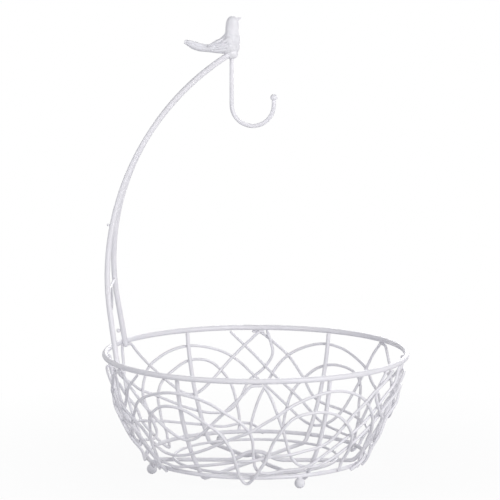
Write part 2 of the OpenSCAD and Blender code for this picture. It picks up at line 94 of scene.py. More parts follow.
# %% World and lamps
def white_background():
    world = bpy.data.worlds.new("studio")
    scene.world = world
    world.use_nodes = True
    tree = world.node_tree
    tree.nodes.clear()
    out = tree.nodes.new("ShaderNodeOutputWorld")
    fill = tree.nodes.new("ShaderNodeBackground")
    fill.inputs["Color"].default_value = (0.95, 0.95, 1.0, 1)
    way = tree.nodes.new("ShaderNodeTexCoord")
    upper_left = tree.nodes.new("ShaderNodeVectorMath")
    upper_left.operation = "DOT_PRODUCT"
    upper_left.inputs[1].default_value = (-0.62, 0.15, 0.77)
    level = tree.nodes.new("ShaderNodeMapRange")
    for name, value in (("From Min", -0.4), ("From Max", 0.8), ("To Min", 0.70), ("To Max", 0.22)):
        level.inputs[name].default_value = value
    tree.links.new(way.outputs["Generated"], upper_left.inputs[0])
    tree.links.new(upper_left.outputs["Value"], level.inputs["Value"])
    tree.links.new(level.outputs["Result"], fill.inputs["Strength"])
    seen = tree.nodes.new("ShaderNodeBackground")
    seen.inputs["Color"].default_value = (1, 1, 1, 1)
    seen.inputs["Strength"].default_value = 1.0
    path = tree.nodes.new("ShaderNodeLightPath")
    first = tree.nodes.new("ShaderNodeMath")
    first.operation = "MAXIMUM"
    second = tree.nodes.new("ShaderNodeMath")
    second.operation = "MAXIMUM"
    mix = tree.nodes.new("ShaderNodeMixShader")
    tree.links.new(path.outputs["Is Camera Ray"], first.inputs[0])
    tree.links.new(path.outputs["Is Glossy Ray"], first.inputs[1])
    tree.links.new(first.outputs[0], second.inputs[0])
    tree.links.new(path.outputs["Is Transmission Ray"], second.inputs[1])
    tree.links.new(second.outputs[0], mix.inputs[0])
    tree.links.new(fill.outputs[0], mix.inputs[1])
    tree.links.new(seen.outputs[0], mix.inputs[2])
    tree.links.new(mix.outputs[0], out.inputs["Surface"])

LAMP_TARGET = (0, 0, 0.15)

def soft_box(name, place, side, watts, colour):
    data = bpy.data.lights.new(name, "AREA")
    data.shape = "RECTANGLE"
    data.size = data.size_y = side
    data.energy = watts
    data.color = colour
    lamp = bpy.data.objects.new(name, data)
    lamp.location = place
    lamp.rotation_euler = (Vector(LAMP_TARGET) - Vector(place)).to_track_quat("-Z", "Y").to_euler()
    scene.collection.objects.link(lamp)
    print("lamp", name, watts, "W")

white_background()
soft_box("key_box", (1.1, -1.4, 0.75), 1.0, 15.5, (1.0, 0.99, 0.98))
soft_box("side_box", (-1.1, -0.7, 0.9), 0.8, 5.0, (0.97, 0.97, 1.0))
soft_box("back_box", (0.3, 1.6, 0.6), 1.0, 9.0, (0.98, 0.98, 1.0))

# %% [markdown]
# The floor is a plain pale sheet that only has to catch a light shadow. Its material gives the camera
# mostly white, and lets a part of the lit, shadowed floor through. That part fades out away from the
# bowl, so no horizon shows.

# %% Floor
def make_floor():
    bm = bmesh.new()
    bmesh.ops.create_grid(bm, x_segments=2, y_segments=2, size=6.0)
    mesh = bpy.data.meshes.new("floor")
    bm.to_mesh(mesh)
    bm.free()
    floor = bpy.data.objects.new("floor", mesh)
    scene.collection.objects.link(floor)
    mat = bpy.data.materials.new("pale_floor")
    mat.use_nodes = True
    tree = mat.node_tree
    tree.nodes.clear()
    out = tree.nodes.new("ShaderNodeOutputMaterial")
    matt = tree.nodes.new("ShaderNodeBsdfDiffuse")
    matt.inputs["Color"].default_value = (0.82, 0.82, 0.83, 1)
    white = tree.nodes.new("ShaderNodeEmission")
    white.inputs["Strength"].default_value = 1.0
    path = tree.nodes.new("ShaderNodeLightPath")
    place = tree.nodes.new("ShaderNodeTexCoord")
    far = tree.nodes.new("ShaderNodeVectorMath")
    far.operation = "LENGTH"
    fade = tree.nodes.new("ShaderNodeMapRange")
    for name, value in (("From Min", 0.14), ("From Max", 0.42), ("To Min", 0.93), ("To Max", 1.0)):
        fade.inputs[name].default_value = value
    share = tree.nodes.new("ShaderNodeMath")
    share.operation = "MULTIPLY"
    mix = tree.nodes.new("ShaderNodeMixShader")
    tree.links.new(place.outputs["Object"], far.inputs[0])
    tree.links.new(far.outputs["Value"], fade.inputs["Value"])
    tree.links.new(fade.outputs["Result"], share.inputs[1])
    tree.links.new(path.outputs["Is Camera Ray"], share.inputs[0])
    tree.links.new(share.outputs[0], mix.inputs[0])
    tree.links.new(matt.outputs[0], mix.inputs[1])
    tree.links.new(white.outputs[0], mix.inputs[2])
    tree.links.new(mix.outputs[0], out.inputs["Surface"])
    mesh.materials.append(mat)
    print("floor faces", len(mesh.polygons))

make_floor()

# %% [markdown]
# Powder coat is baked on as a skin of plastic. Close to, it has a faint soft ripple, and its gloss
# changes a little from place to place. It could be painted on as a picture, but noise on the object's own
# coordinates keeps one scale on all the wires. The ripple and the gloss are one node group, which both
# finishes share with their own values.

# %% Shader group for the coating
def coating_group():
    group = bpy.data.node_groups.new("coating_skin", "ShaderNodeTree")
    face = group.interface
    for name in ("Ripple Scale", "Ripple Height", "Gloss", "Gloss Spread"):
        face.new_socket(name=name, in_out="INPUT", socket_type="NodeSocketFloat")
    face.new_socket(name="Tint", in_out="OUTPUT", socket_type="NodeSocketColor")
    face.new_socket(name="Roughness", in_out="OUTPUT", socket_type="NodeSocketFloat")
    face.new_socket(name="Normal", in_out="OUTPUT", socket_type="NodeSocketVector")
    nodes, links = group.nodes, group.links
    given = nodes.new("NodeGroupInput")
    result = nodes.new("NodeGroupOutput")
    place = nodes.new("ShaderNodeTexCoord")
    ripple = nodes.new("ShaderNodeTexNoise")
    ripple.inputs["Detail"].default_value = 2.0
    links.new(place.outputs["Object"], ripple.inputs["Vector"])
    links.new(given.outputs["Ripple Scale"], ripple.inputs["Scale"])
    bump = nodes.new("ShaderNodeBump")
    bump.inputs["Distance"].default_value = 0.0002
    links.new(given.outputs["Ripple Height"], bump.inputs["Strength"])
    links.new(ripple.outputs["Fac"], bump.inputs["Height"])
    links.new(bump.outputs["Normal"], result.inputs["Normal"])
    cloud = nodes.new("ShaderNodeTexNoise")
    cloud.inputs["Scale"].default_value = 42.0
    cloud.inputs["Detail"].default_value = 3.0
    links.new(place.outputs["Object"], cloud.inputs["Vector"])
    offset = nodes.new("ShaderNodeMath")
    offset.operation = "SUBTRACT"
    offset.inputs[1].default_value = 0.5
    links.new(cloud.outputs["Fac"], offset.inputs[0])
    spread = nodes.new("ShaderNodeMath")
    spread.operation = "MULTIPLY_ADD"
    links.new(offset.outputs[0], spread.inputs[0])
    links.new(given.outputs["Gloss Spread"], spread.inputs[1])
    links.new(given.outputs["Gloss"], spread.inputs[2])
    links.new(spread.outputs[0], result.inputs["Roughness"])
    ramp = nodes.new("ShaderNodeValToRGB")
    ramp.color_ramp.elements[0].position = 0.3
    ramp.color_ramp.elements[0].color = (0.96, 0.965, 0.98, 1)
    ramp.color_ramp.elements[1].position = 0.7
    ramp.color_ramp.elements[1].color = (1, 1, 1, 1)
    links.new(cloud.outputs["Fac"], ramp.inputs["Fac"])
    links.new(ramp.outputs["Color"], result.inputs["Tint"])
    return group

COATING = coating_group()
print("group sockets", len(COATING.interface.items_tree))

# %% [markdown]
# Drawn steel wire comes out of the oven smooth. The castings, such as the bird and the leaf, have a
# slightly softer, more rippled skin. Both are nearly the same white, a little cool. The colours of a Mix
# node share their names with its other kinds of value, so they are reached by number: 6 and 7 in, 2 out.

# %% Finishes
def coat_material(name, colour, ripple_scale, ripple_height, gloss, spread):
    mat = bpy.data.materials.new(name)
    mat.use_nodes = True
    tree = mat.node_tree
    shader = tree.nodes["Principled BSDF"]
    skin = tree.nodes.new("ShaderNodeGroup")
    skin.node_tree = COATING
    skin.inputs["Ripple Scale"].default_value = ripple_scale
    skin.inputs["Ripple Height"].default_value = ripple_height
    skin.inputs["Gloss"].default_value = gloss
    skin.inputs["Gloss Spread"].default_value = spread
    tint = tree.nodes.new("ShaderNodeMix")
    tint.data_type = "RGBA"
    tint.blend_type = "MULTIPLY"
    tint.inputs[0].default_value = 1.0
    tint.inputs[6].default_value = (*colour, 1)
    tree.links.new(skin.outputs["Tint"], tint.inputs[7])
    tree.links.new(tint.outputs[2], shader.inputs["Base Color"])
    tree.links.new(skin.outputs["Roughness"], shader.inputs["Roughness"])
    tree.links.new(skin.outputs["Normal"], shader.inputs["Normal"])
    shader.inputs["IOR"].default_value = 1.5
    return mat

WIRE_COAT = coat_material("white_wire_coat", (0.87, 0.86, 0.885), 500.0, 0.003, 0.36, 0.08)
CAST_COAT = coat_material("white_cast_coat", (0.87, 0.865, 0.885), 450.0, 0.01, 0.42, 0.12)
print("finishes", WIRE_COAT.name, CAST_COAT.name)

# %% [markdown]
# Every round wire is made the way a wire is thought of: a middle line and a thickness. A bevelled curve
# gives that, with the same number of sides all along, and its radius shrinks over the last points so that
# a cut end is rounded by the coating. The curve is then turned into a mesh, which is what a finished
# piece is.

# %% Helpers for wires
END_ANGLES = (0.5, 0.9, 1.25)
TIP_ANGLE = 0.12
END_CLEARANCE = 1.1

def as_piece(name, mesh, material, nodes):
    for face in mesh.polygons:
        face.use_smooth = True
    mesh.materials.clear()
    mesh.materials.append(material)
    piece = bpy.data.objects.new(name, mesh)
    scene.collection.objects.link(piece)
    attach(piece, "root")
    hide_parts(*nodes)

def round_ends(points, wire):
    """The points with short steps at both ends, and the share of the radius at each."""
    r = wire / 2
    steps = [(1 - math.cos(a)) * r for a in (0, *END_ANGLES)]
    shares = [math.sin(a) for a in (TIP_ANGLE, *END_ANGLES)]
    first = (points[1] - points[0]).normalized()
    last = (points[-2] - points[-1]).normalized()
    head = [(points[0] + first * s, q) for s, q in zip(steps, shares)]
    tail = [(points[-1] + last * s, q) for s, q in zip(steps, shares)]
    clear = r * END_CLEARANCE
    inner = [p for p in points[1:-1] if min((p - points[0]).length, (p - points[-1]).length) > clear]
    kept = [(p, 1.0) for p in inner]
    return head + kept + tail[::-1]

def wire_mesh(name, points, wire, sides):
    curve = bpy.data.curves.new(name, "CURVE")
    curve.dimensions = "3D"
    curve.bevel_depth = wire / 2 * MM
    curve.bevel_resolution = sides // 4 - 1
    curve.use_fill_caps = True
    rows = round_ends(points, wire)
    spline = curve.splines.new("POLY")
    spline.points.add(len(rows) - 1)
    for point, (place, share) in zip(spline.points, rows):
        point.co = (*(place * MM), 1)
        point.radius = share
    holder = bpy.data.objects.new(name, curve)
    scene.collection.objects.link(holder)
    graph = bpy.context.evaluated_depsgraph_get()
    mesh = bpy.data.meshes.new_from_object(holder.evaluated_get(graph))
    bpy.data.objects.remove(holder)
    mesh.name = name
    bm = bmesh.new()
    bm.from_mesh(mesh)
    bmesh.ops.remove_doubles(bm, verts=bm.verts, dist=1e-7)
    bmesh.ops.recalc_face_normals(bm, faces=bm.faces)
    bm.to_mesh(mesh)
    bm.free()
    return mesh

def wire_piece(name, points, wire, sides, node):
    as_piece(name, wire_mesh(name, points, wire, sides), WIRE_COAT, [node])

print("a wire's end is rounded in", 1 + len(END_ANGLES), "steps")

# %% [markdown]
# The rim, the base ring and the ring on the floor are closed hoops of wire. A hoop could be a torus, but
# spinning a small circle round the bowl's axis lets each one have its own place and thickness.

# %% Rim, base ring and floor ring
RIM_WIRE, RIB_WIRE, LOOP_WIRE = 5.0, 3.8, 2.5
RIM_R, BASE_R, FLOOR_RING_R = 137.5, 100.0, 75.0
FLOOR_Z = 5.6
FLOOR_RING_Z = FLOOR_Z + (RIB_WIRE + LOOP_WIRE) / 2 + WELD_GAP
HOOP_STEPS, HOOP_SIDES = 192, 24

def hoop(name, radius, height, wire):
    bm = bmesh.new()
    made = bmesh.ops.create_circle(bm, segments=HOOP_SIDES, radius=wire / 2 * MM)
    upright = Matrix.Translation((radius * MM, 0, height * MM)) @ Matrix.Rotation(math.radians(90), 4, "X")
    bmesh.ops.transform(bm, matrix=upright, verts=made["verts"])
    bmesh.ops.spin(bm, geom=bm.verts[:] + bm.edges[:], cent=(0, 0, 0), axis=(0, 0, 1), angle=2 * math.pi,
                   steps=HOOP_STEPS, use_merge=True)
    bmesh.ops.remove_doubles(bm, verts=bm.verts, dist=1e-6)
    bmesh.ops.recalc_face_normals(bm, faces=bm.faces)
    mesh = bpy.data.meshes.new(name)
    bm.to_mesh(mesh)
    bm.free()
    as_piece(name, mesh, WIRE_COAT, [name.replace("_hoop", "")])
    print(name, "faces", len(mesh.polygons))

hoop("rim_hoop", RIM_R, RIM_Z, RIM_WIRE)
hoop("base_ring_hoop", BASE_R, BASE_Z, BASE_WIRE)
hoop("floor_ring_hoop", FLOOR_RING_R, FLOOR_RING_Z, LOOP_WIRE)

# %% [markdown]
# Seen from the side the ribs' wall is one arc, which runs just inside the base ring. The looped wires lie
# on it and end under the rim. All wires of the wall are placed by two angles: one round the bowl, and one
# down the arc.

# %% The arc of the wall
WALL_R = 180.0
RING_OFFSET = (RIB_WIRE + BASE_WIRE) / 2 + WELD_GAP
LOOP_OFFSET = (RIB_WIRE + LOOP_WIRE) / 2 + WELD_GAP
RIM_REACH = WALL_R + LOOP_OFFSET

def wall_centre():
    chord = Vector((BASE_R - RIM_R, BASE_Z - RIM_Z))
    along = (RIM_REACH ** 2 - (WALL_R + RING_OFFSET) ** 2 + chord.length_squared) / (2 * chord.length)
    across = math.sqrt(RIM_REACH ** 2 - along ** 2)
    step = chord.normalized()
    return Vector((RIM_R, RIM_Z)) + step * along + Vector((step.y, -step.x)) * across

WALL_C = wall_centre()
RIM_TURN = math.degrees(math.atan2(RIM_Z - WALL_C.y, RIM_R - WALL_C.x))
BASE_TURN = math.degrees(math.atan2(BASE_Z - WALL_C.y, BASE_R - WALL_C.x))
TOP_TURN = RIM_TURN - math.degrees(((RIM_WIRE + LOOP_WIRE) / 2 + WELD_GAP) / RIM_REACH)

def wall_radius_at(turn):
    return WALL_C.x + WALL_R * math.cos(math.radians(turn))

def turn_at(height):
    return math.degrees(math.asin((BASE_Z + BOWL_DEPTH * height / 100 - WALL_C.y) / WALL_R))

def wall_point(angle, turn, offset):
    a, t = math.radians(angle), math.radians(turn)
    r = WALL_C.x + (WALL_R + offset) * math.cos(t)
    return Vector((r * math.sin(a), -r * math.cos(a), WALL_C.y + (WALL_R + offset) * math.sin(t)))

print("wall centre", [round(v, 2) for v in WALL_C], "turns", round(RIM_TURN, 2), round(BASE_TURN, 2))

# %% [markdown]
# A rib runs down one side, over the floor and up the other side. The three ribs cross in the middle of
# the floor, where the second and the third rise over the ones below. Each is one line of points: arc,
# corner bend, floor, hump.

# %% Ribs
RIB_ANGLES = (-30, 30, 90)
RIB_STEP = 60
RIB_WELD = 0.4
CORNER_R = 10.0
HUMP = 26.0
HUMP_STEP, CORNER_STEP, WALL_STEP = 2.5, 1.0, 3.0
CORNER_DROP = WALL_C.y - FLOOR_Z - CORNER_R
CORNER_C = Vector((WALL_C.x + math.sqrt((WALL_R - CORNER_R) ** 2 - CORNER_DROP ** 2), FLOOR_Z + CORNER_R))
CORNER_TURN = math.degrees(math.atan2(CORNER_C.y - WALL_C.y, CORNER_C.x - WALL_C.x))

def arc(centre, radius, start, end, spacing):
    count = max(3, math.ceil(abs(end - start) * math.pi / 180 * radius / spacing))
    turns = [math.radians(start + (end - start) * k / count) for k in range(count + 1)]
    return [Vector((centre[0] + radius * math.cos(t), centre[1] + radius * math.sin(t))) for t in turns]

def rib_side(rise):
    """Points from the middle of the floor up to the rim, as (out, height)."""
    line = []
    if rise:
        bend = 2 * math.degrees(math.atan(rise / HUMP))
        hump_r = HUMP / 2 / math.sin(math.radians(bend))
        line += arc((0, FLOOR_Z + rise - hump_r), hump_r, 90, 90 - bend, HUMP_STEP)
        line += arc((HUMP, FLOOR_Z + hump_r), hump_r, 270 - bend, 270, HUMP_STEP)[1:]
    else:
        line.append(Vector((0, FLOOR_Z)))
    line += arc(CORNER_C, CORNER_R, -90, CORNER_TURN, CORNER_STEP)
    drop = math.sqrt((RIM_WIRE / 2) ** 2 - (LOOP_OFFSET - RIB_WIRE / 2) ** 2)
    stop = RIM_TURN - math.degrees((drop - RIB_WELD) / WALL_R)
    line += arc(WALL_C, WALL_R, CORNER_TURN, stop, WALL_STEP)[1:]
    return line

def make_rib(number, angle):
    side = rib_side((number - 1) * (RIB_WIRE + WELD_GAP))
    row = [Vector((-p.x, p.y)) for p in side[:0:-1]] + side
    a = math.radians(angle)
    points = [Vector((p.x * math.sin(a), -p.x * math.cos(a), p.y)) for p in row]
    wire_piece("rib_%d_wire" % number, points, RIB_WIRE, 20, "rib_%d" % number)

for number, angle in enumerate(RIB_ANGLES, 1):
    make_rib(number, angle)
print("rib line has", len(rib_side(0)), "points a side")

# %% [markdown]
# The thin looping wires are the character of the bowl. Five forms are bent and each is set three times
# round the bowl: a V, a long sweep, a wide arch, a low drape and an inner M. Their points are an angle
# round the bowl and a height in percent, with a smooth curve through them. They could be drawn as flat
# loops and shrink-wrapped on a bowl, but then crossing wires would run through each other. Here each wire
# is laid over the ribs and over every wire that is already there.

# %% Routes of the looped wires
ROUTES = {
    "vee": [(-62.5, 98), (-61, 98.5), (-58.5, 92), (-50, 73), (-40, 51), (-32.5, 40), (-27.5, 39),
            (-22.5, 44.5), (-12.5, 66), (-5, 84), (-0.5, 97), (1.5, 100), (3.5, 98)],
    "sweep": [(4, 96), (6, 88), (9, 70), (12.5, 48), (16.5, 25), (22, 14), (29.5, 10.5), (37, 14.5),
              (46.5, 27), (56, 43), (62.5, 55), (68.5, 68.5), (76, 78.5), (88.5, 85), (101, 80),
              (111.5, 67), (119, 48), (120, 25), (121, 12), (125, 8), (135.5, 10), (148, 16),
              (161.5, 35), (174, 56), (183, 77), (191, 96)],
    "arch": [(-63.5, 97), (-65, 86), (-66, 74), (-62, 60), (-56, 49), (-52, 33), (-46, 21.5),
             (-36, 20.5), (-24.5, 27.5), (-11.5, 40.5), (2, 56), (12.5, 73), (23, 84), (33.5, 87),
             (44, 79), (51, 66), (55.5, 50), (59.5, 32), (63, 12), (64, 2)],
    "drape": [(62.5, 98), (60.5, 98), (54.5, 87), (47.5, 73), (40.5, 54), (34.5, 37.5), (28, 31),
              (16.5, 28), (0, 22.5), (-15.5, 16), (-29.5, 11), (-43, 8), (-56.5, 11), (-63, 2)],
    "inner": [(-49.5, 2), (-51, 14), (-49, 40), (-45, 58), (-39, 69), (-30.5, 71), (-22, 63),
              (-13.5, 50), (-9, 30), (-7, 7), (-4, -2.5), (-1, 2), (5, 22), (9.5, 46), (15, 63),
              (25, 68), (33.5, 64), (40, 53), (45, 38), (46.5, 20), (46.5, 4)],
}
COPIES = 3
COPY_TURN = 360 / COPIES
STEP = 2.0
LIFT_FLAT, LIFT_REACH = 4.5, 12.0
RING_REACH = LIFT_FLAT + 4
OVER_BASE = RING_OFFSET + (BASE_WIRE + LOOP_WIRE) / 2 + WELD_GAP - LOOP_OFFSET
OVER_LOOP = LOOP_WIRE + WELD_GAP

def through(a, b, c, d, t):
    """A smooth curve from b to c, which a and d steer."""
    square, cube = 2 * a - 5 * b + 4 * c - d, 3 * b - a - 3 * c + d
    return 0.5 * ((2 * b) + (c - a) * t + square * t * t + cube * t ** 3)

def flat_step(a, b):
    radius = wall_radius_at((a.y + b.y) / 2)
    return math.hypot(math.radians(b.x - a.x) * radius, math.radians(b.y - a.y) * WALL_R)

def places(route):
    points = [Vector((angle, turn_at(height))) for angle, height in route]
    padded = [2 * points[0] - points[1]] + points + [2 * points[-1] - points[-2]]
    row = []
    for i in range(len(points) - 1):
        count = max(1, round(flat_step(points[i], points[i + 1]) / STEP))
        row += [through(*padded[i:i + 4], k / count) for k in range(count)]
    row.append(points[-1])
    return [Vector((p.x, min(p.y, TOP_TURN))) for p in row]

print("places on the sweep", len(places(ROUTES["sweep"])))

# %% [markdown]
# A wire that passes over another one doesn't jump up. It rises along its way and comes down again. That
# could be shaped by hand at each crossing, but a smooth step of the distance to the other wire finds all
# crossings by itself. Away from ribs and rings, the lower wire also gives way inwards by half a
# thickness.

# %% How far a wire is lifted
NEAR_ANGLE, NEAR_TURN = 14, 6

def lift_shape(distance, reach=LIFT_REACH):
    if distance <= LIFT_FLAT:
        return 1.0
    if distance >= reach:
        return 0.0
    return 0.5 + 0.5 * math.cos(math.pi * (distance - LIFT_FLAT) / (reach - LIFT_FLAT))

def wall_length(turn):
    return math.radians(abs(turn)) * WALL_R

def ring_lift(turn):
    return OVER_BASE * lift_shape(wall_length(turn - BASE_TURN), RING_REACH)

def near_steps(place, laid, shift):
    """Lift and distance of the near steps of a wire that is turned by an angle round the bowl."""
    across, down = math.radians(1) * wall_radius_at(place.y), math.radians(1) * WALL_R
    for a, b in zip(laid, laid[1:]):
        ax = a[0] + shift
        if abs(ax - place.x) < NEAR_ANGLE and abs(a[1] - place.y) < NEAR_TURN:
            p = Vector(((place.x - ax) * across, (place.y - a[1]) * down))
            s = Vector(((b[0] - a[0]) * across, (b[1] - a[1]) * down))
            t = min(1.0, max(0.0, p.dot(s) / s.length_squared))
            yield a[2] + (b[2] - a[2]) * t, (p - s * t).length

def lift_over(place, level, laid, shift):
    steps = near_steps(place, laid, shift)
    return max([level] + [level + (z + OVER_LOOP - level) * lift_shape(d) for z, d in steps])

def room(place):
    """1 between ribs and rings, where a wire can give way inwards, and 0 on them."""
    turn = (place.x - RIB_ANGLES[0]) % RIB_STEP
    to_rib = math.radians(min(turn, RIB_STEP - turn)) * wall_radius_at(place.y)
    rings = lift_shape(wall_length(place.y - RIM_TURN)), lift_shape(wall_length(place.y - BASE_TURN))
    return 1 - max(lift_shape(to_rib), *rings)

def give(place, later):
    free = room(place)
    if free == 0:
        return 0.0
    shapes = [lift_shape(d) for w, k in later for _, d in near_steps(place, w, COPY_TURN * k)]
    return free * max([0.0] + shapes)

print("lifts in mm: base ring", round(ring_lift(BASE_TURN), 2), "wire", round(OVER_LOOP, 2))

# %% [markdown]
# The forms are laid one after the other. Each goes over those that are already there and leaves room for
# those that follow. The long sweep also passes over the start of its own next copy.

# %% Laying the wires over each other
AROUND = (-2, -1, 0, 1, 2)
OTHERS = (-2, -1, 1, 2)

def coarse(laid):
    """Every third place, which is close enough to pass over."""
    return laid[::3] + ([] if (len(laid) - 1) % 3 == 0 else [laid[-1]])

def lay_wires():
    done = {}
    bare = {name: coarse([(p.x, p.y, 0.0) for p in places(route)]) for name, route in ROUTES.items()}
    for name, route in ROUTES.items():
        below = [(coarse(w), k) for w in done.values() for k in AROUND]
        waiting = [w for other, w in bare.items() if other not in done and other != name]
        later = [(w, k) for w in waiting for k in AROUND]
        if name == "sweep":
            later += [(bare[name][len(bare[name]) // 2:], k) for k in OTHERS]
        laid = []
        for p in places(route):
            level = max(ring_lift(p.y), -OVER_LOOP / 2 * give(p, later))
            laid.append((p.x, p.y, max([level] + [lift_over(p, level, w, COPY_TURN * k) for w, k in below])))
        if name == "sweep":
            half = len(laid) // 2
            start = coarse(laid[:half + 1])
            laid = [(x, y, z) if i <= half else (x, y, lift_over(Vector((x, y)), z, start, COPY_TURN))
                    for i, (x, y, z) in enumerate(laid)]
        done[name] = laid
        print(name, "places", len(laid), "highest lift", round(max(z for _, _, z in laid), 2))
    return done

LAID = lay_wires()

# %% [markdown]
# A stiff wire bends in long waves, and a spot weld sinks one wire a little into the other. So the lifts
# are evened out along each wire, and the route itself a little less. Over the base ring the wire keeps
# nearly its full height. The thin wires also show their coating most, so its thickness is added to them.

# %% Looped wires
COATING_DEPTH = 0.12
WELD_DEPTH = 0.7
WELD_SINK = 0.4
ROUTE_ROUNDS, LIFT_ROUNDS = 4, 12
STEEP = 0.3

def evened(values, rounds):
    for _ in range(rounds):
        inner = [(a + 2 * b + c) / 4 for a, b, c in zip(values, values[1:], values[2:])]
        values = [values[0]] + inner + [values[-1]]
    return values

def eased(laid):
    xs, ys, zs = (list(column) for column in zip(*laid))
    xs, ys, zs = evened(xs, ROUTE_ROUNDS), evened(ys, ROUTE_ROUNDS), evened(zs, LIFT_ROUNDS)
    sunk = [ring_lift(y) - WELD_SINK for y in ys]
    return list(zip(xs, ys, [max(z, s) for z, s in zip(zs, sunk)]))

def make_looped_wires():
    for name, rough in LAID.items():
        laid = eased(rough)
        for copy in range(COPIES):
            points = [wall_point(x + COPY_TURN * copy, y, LOOP_OFFSET + z) for x, y, z in laid]
            for end, before in ((0, 2), (-1, -3)):
                way = (points[end] - points[before]).normalized()
                up_to_rim = LOOP_WIRE / 2 * math.tan(math.asin(max(0, way.z)) / 2)
                ends_at_rim = way.z > STEEP
                points[end] += way * (up_to_rim + (WELD_DEPTH if ends_at_rim else 0))
            node = "%s_wire_%d" % (name, copy + 1)
            wire_piece(node + "_loop", points, LOOP_WIRE + 2 * COATING_DEPTH, 12, node)
    print("looped wires", COPIES * len(LAID))

make_looped_wires()

# %% [markdown]
# The arm is two 5 mm rods, one behind the other. Each leans out from the rim, bends over in one long
# curve and runs into the ball under the bird. In its own plane a rod is a straight, an arc and a short
# straight, so that plane is worked in first, and the finished line is then leaned and turned into place.

# %% Arm rods
ARM_WIRE, ARM_ANGLE, ARM_SPREAD, ARM_TAIL, ARM_LEAN = 5.0, -91.0, 49.0, 4.0, 8.5
ARM_RISE, ARM_RADIUS, ARM_SWEEP, ARM_END = 44.0, 235.0, 56.0, 10.0
ARM_FOOT = math.sqrt((RIM_R - (RIM_WIRE + ARM_WIRE) / 2 - WELD_GAP) ** 2 - ARM_SPREAD ** 2)
LEAN, SWEEP = math.radians(ARM_LEAN), math.radians(ARM_SWEEP)
ARM_BEND = Vector((ARM_FOOT + ARM_RISE * math.tan(LEAN), ARM_RISE))
ARM_C = ARM_BEND + ARM_RADIUS * Vector((-math.cos(LEAN), math.sin(LEAN)))
ARM_LAST = ARM_C + ARM_RADIUS * Vector((math.cos(SWEEP), math.sin(SWEEP)))
ARM_TIP = ARM_LAST + ARM_END * Vector((-math.sin(SWEEP), math.cos(SWEEP)))
ARM_TILT = math.asin((ARM_SPREAD - ARM_WIRE / 2 - WELD_GAP) / ARM_TIP.y)
ROD_STEP = 4.0
SOCKET_R = 6.0
SOCKET_AHEAD = 1.5
SOCKET_X = ARM_TIP.x + SOCKET_AHEAD
SOCKET_Z = RIM_Z + (ARM_TIP.y - SOCKET_AHEAD * math.tan(math.pi / 2 - SWEEP)) * math.cos(ARM_TILT)
TO_ARM = Matrix.Rotation(math.radians(ARM_ANGLE - 90), 4, "Z")

def rod_plane(side):
    tilt = Matrix.Rotation(-side * ARM_TILT, 4, "X")
    return TO_ARM @ Matrix.Translation((0, -side * ARM_SPREAD, RIM_Z)) @ tilt

def rod_x(height):
    if height < ARM_RISE:
        return ARM_FOOT + height * math.tan(LEAN)
    return ARM_C.x + math.sqrt(ARM_RADIUS ** 2 - (height - ARM_C.y) ** 2)

def make_rod(side, node):
    line = [Vector((ARM_FOOT - ARM_TAIL * math.tan(LEAN), -ARM_TAIL)), Vector((ARM_FOOT, 0))]
    line += arc(ARM_C, ARM_RADIUS, -ARM_LEAN, ARM_SWEEP, ROD_STEP) + [ARM_TIP]
    place = rod_plane(side)
    points = [place @ Vector((p.x, 0, p.y)) for p in line]
    wire_piece(node + "_bar", points, ARM_WIRE, 24, node)
    print(node, "ends at", [round(v, 1) for v in points[-1]])

make_rod(-1, "arm_rod_front")
make_rod(1, "arm_rod_back")

# %% [markdown]
# The hook is one bent wire that hangs from the ball under the bird. A small ball on its tip leaves no
# sharp end. It is a sphere whose underside is pressed flatter, where the wire runs into it.

# %% Hook
HOOK_WIRE, HOOK_SHANK, HOOK_RADIUS, HOOK_END, HOOK_BALL = 3.8, 41.0, 19.0, 5.0, 6.4
HOOK_IN_SOCKET, HOOK_STEP, BALL_FLATTENING = 1.5, 1.5, 0.35

def make_hook():
    bend_z = SOCKET_Z - SOCKET_R - HOOK_SHANK
    line = [Vector((0, HOOK_SHANK + HOOK_IN_SOCKET)), Vector((0, 20)), Vector((0, 2))]
    line += arc((-HOOK_RADIUS, 0), HOOK_RADIUS, 0, -180, HOOK_STEP) + [Vector((-2 * HOOK_RADIUS, HOOK_END))]
    points = [TO_ARM @ Vector((SOCKET_X + p.x, 0, bend_z + p.y)) for p in line]
    wire_piece("hook_bend", points, HOOK_WIRE, 20, "hook")
    bm = bmesh.new()
    bmesh.ops.create_uvsphere(bm, u_segments=32, v_segments=20, radius=HOOK_BALL / 2 * MM)
    flat_below = -HOOK_BALL / 4 * MM
    for v in bm.verts:
        if v.co.z < flat_below:
            v.co.z = flat_below + (v.co.z - flat_below) * BALL_FLATTENING
    tip = TO_ARM @ Vector((SOCKET_X - 2 * HOOK_RADIUS, 0, bend_z + HOOK_END + HOOK_BALL / 4))
    bmesh.ops.translate(bm, verts=bm.verts, vec=tip * MM)
    mesh = bpy.data.meshes.new("hook_ball")
    bm.to_mesh(mesh)
    bm.free()
    as_piece("hook_ball", mesh, CAST_COAT, ["hook_ball_tip"])
    print("hook bend at height", round(bend_z, 1))

make_hook()

# %% [markdown]
# The bird is a small casting. Its form is read from the side: pairs of points on the back and the belly,
# with a half width for each. A circle is extruded from tail to beak and each new ring is moved to its own
# place, which gives one clean skin. The wings are long rounded forms laid on the sides, one for each
# group of feathers.

